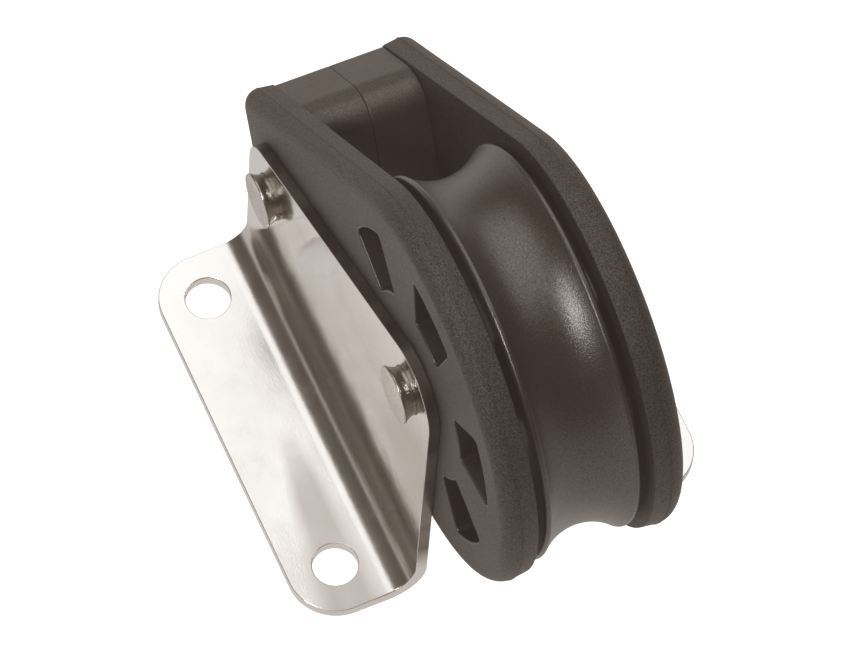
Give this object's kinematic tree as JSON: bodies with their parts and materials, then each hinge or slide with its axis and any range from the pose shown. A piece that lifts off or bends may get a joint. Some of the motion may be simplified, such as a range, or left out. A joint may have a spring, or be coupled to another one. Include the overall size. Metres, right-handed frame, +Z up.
{
  "type": "single sheave upright lead block",
  "caption": "Upright single sheave deck lead block with two bent stainless brackets, black moulded cheeks, a tail spacer and a grooved rope sheave.",
  "frame": {"origin": "middle of the four deck bolt holes, on the underside of the bracket flanges", "axes": "+X from the tail towards the sheave end, +Y along the pins to the block's left side, +Z up from the deck"},
  "size_m": [0.097, 0.0676, 0.0835],
  "materials": {
    "stainless_plate": "polished",
    "turned_stainless": "polished",
    "cheek_plastic": "matte",
    "sheave_plastic": "satin",
    "bearing_plastic": "satin"
  },
  "bodies": {
    "frame": {"bracket_left": "stainless_plate", "bracket_right": "stainless_plate", "cheek_left": "cheek_plastic", "cheek_right": "cheek_plastic", "tail_spacer_left": "cheek_plastic", "tail_spacer_right": "cheek_plastic", "thrust_washer_left": "bearing_plastic", "thrust_washer_right": "bearing_plastic", "axle_sleeve": "turned_stainless", "tail_sleeve": "turned_stainless", "axle_rivet": "turned_stainless", "tail_rivet": "turned_stainless"},
    "sheave": {"sheave": "sheave_plastic", "sheave_bush": "bearing_plastic"}
  },
  "joints": [
    {"name": "sheave_spin", "type": "hinge", "parent": "frame", "child": "sheave", "pos_m": [0.0247, 0, 0.0522], "axis": [0, 1, 0], "continuous": true}
  ]
}
